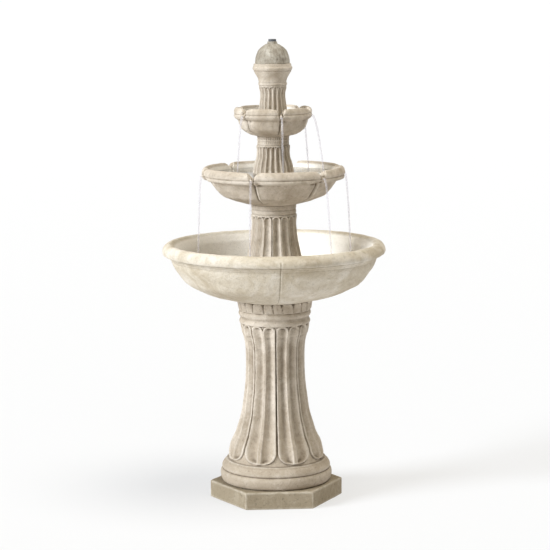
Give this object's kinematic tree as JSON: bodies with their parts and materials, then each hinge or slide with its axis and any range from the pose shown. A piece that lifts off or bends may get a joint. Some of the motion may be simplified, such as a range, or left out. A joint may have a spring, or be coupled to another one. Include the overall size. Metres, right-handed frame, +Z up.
{
  "type": "tiered water fountain",
  "caption": "Cast-stone garden fountain: a hexagonal plinth and leaf-carved pedestal carry a basin, stacked fluted columns and lipped bowls, and a domed outlet fed by a hidden pump.",
  "frame": {"origin": "centre of the plinth's underside, on the axis of the columns and bowls", "axes": "+Z up; -Y is the front, where one flat of the plinth faces (turned 3 degrees); +X to the right seen from the front"},
  "size_m": [0.701, 0.701, 1.45],
  "materials": {
    "cast_stone": "matte",
    "pale_cast_stone": "matte",
    "weathered_cast_stone": "matte",
    "clear_vinyl": "gloss",
    "copper": "satin",
    "black_rubber": "matte",
    "black_plastic": "satin",
    "grey_plastic": "satin",
    "stainless_steel": "satin",
    "black_foam": "matte",
    "ferrite": "matte",
    "white_ceramic": "satin"
  },
  "bodies": {
    "base": {"plinth": "weathered_cast_stone", "pedestal": "cast_stone", "basin": "pale_cast_stone", "basin_stopper": "black_rubber", "lower_hose": "clear_vinyl", "hose_clamp": "stainless_steel", "clamp_screw": "stainless_steel", "pump_housing": "black_plastic", "pump_volute": "grey_plastic", "intake_grille": "black_plastic", "filter_foam": "black_foam", "impeller_shaft": "white_ceramic", "front_bush": "black_rubber", "rear_bush": "black_rubber", "cable_gland": "black_rubber", "suction_foot_1": "black_rubber", "suction_foot_2": "black_rubber", "suction_foot_3": "black_rubber", "suction_foot_4": "black_rubber"},
    "lower_tier": {"lower_column": "cast_stone", "middle_bowl": "cast_stone", "middle_bowl_pipe": "copper", "middle_bowl_grommet": "black_rubber", "middle_hose": "clear_vinyl"},
    "upper_tier": {"upper_column": "cast_stone", "top_bowl": "cast_stone", "top_bowl_pipe": "copper", "top_bowl_grommet": "black_rubber", "upper_hose": "clear_vinyl", "outlet_nozzle": "black_plastic"},
    "crown": {"top_column": "cast_stone", "finial_cup": "cast_stone", "finial_dome": "cast_stone"},
    "rotor": {"impeller": "grey_plastic", "rotor_magnet": "ferrite"},
    "dial": {"flow_dial": "grey_plastic"}
  },
  "joints": [
    {"name": "lower_tier_lift", "type": "slide", "parent": "base", "child": "lower_tier", "axis": [0, 0, 1], "range_m": [0, 0.3]},
    {"name": "upper_tier_lift", "type": "slide", "parent": "lower_tier", "child": "upper_tier", "axis": [0, 0, 1], "range_m": [0, 0.2]},
    {"name": "crown_lift", "type": "slide", "parent": "upper_tier", "child": "crown", "axis": [0, 0, 1], "range_m": [0, 0.29]},
    {"name": "impeller_spin", "type": "hinge", "parent": "base", "child": "rotor", "pos_m": [0, 0, 0.6875], "axis": [0, 1, 0], "continuous": true},
    {"name": "flow_dial_turn", "type": "hinge", "parent": "base", "child": "dial", "pos_m": [0, -0.036, 0.6875], "axis": [0, -1, 0], "range_deg": [0, 90]}
  ]
}
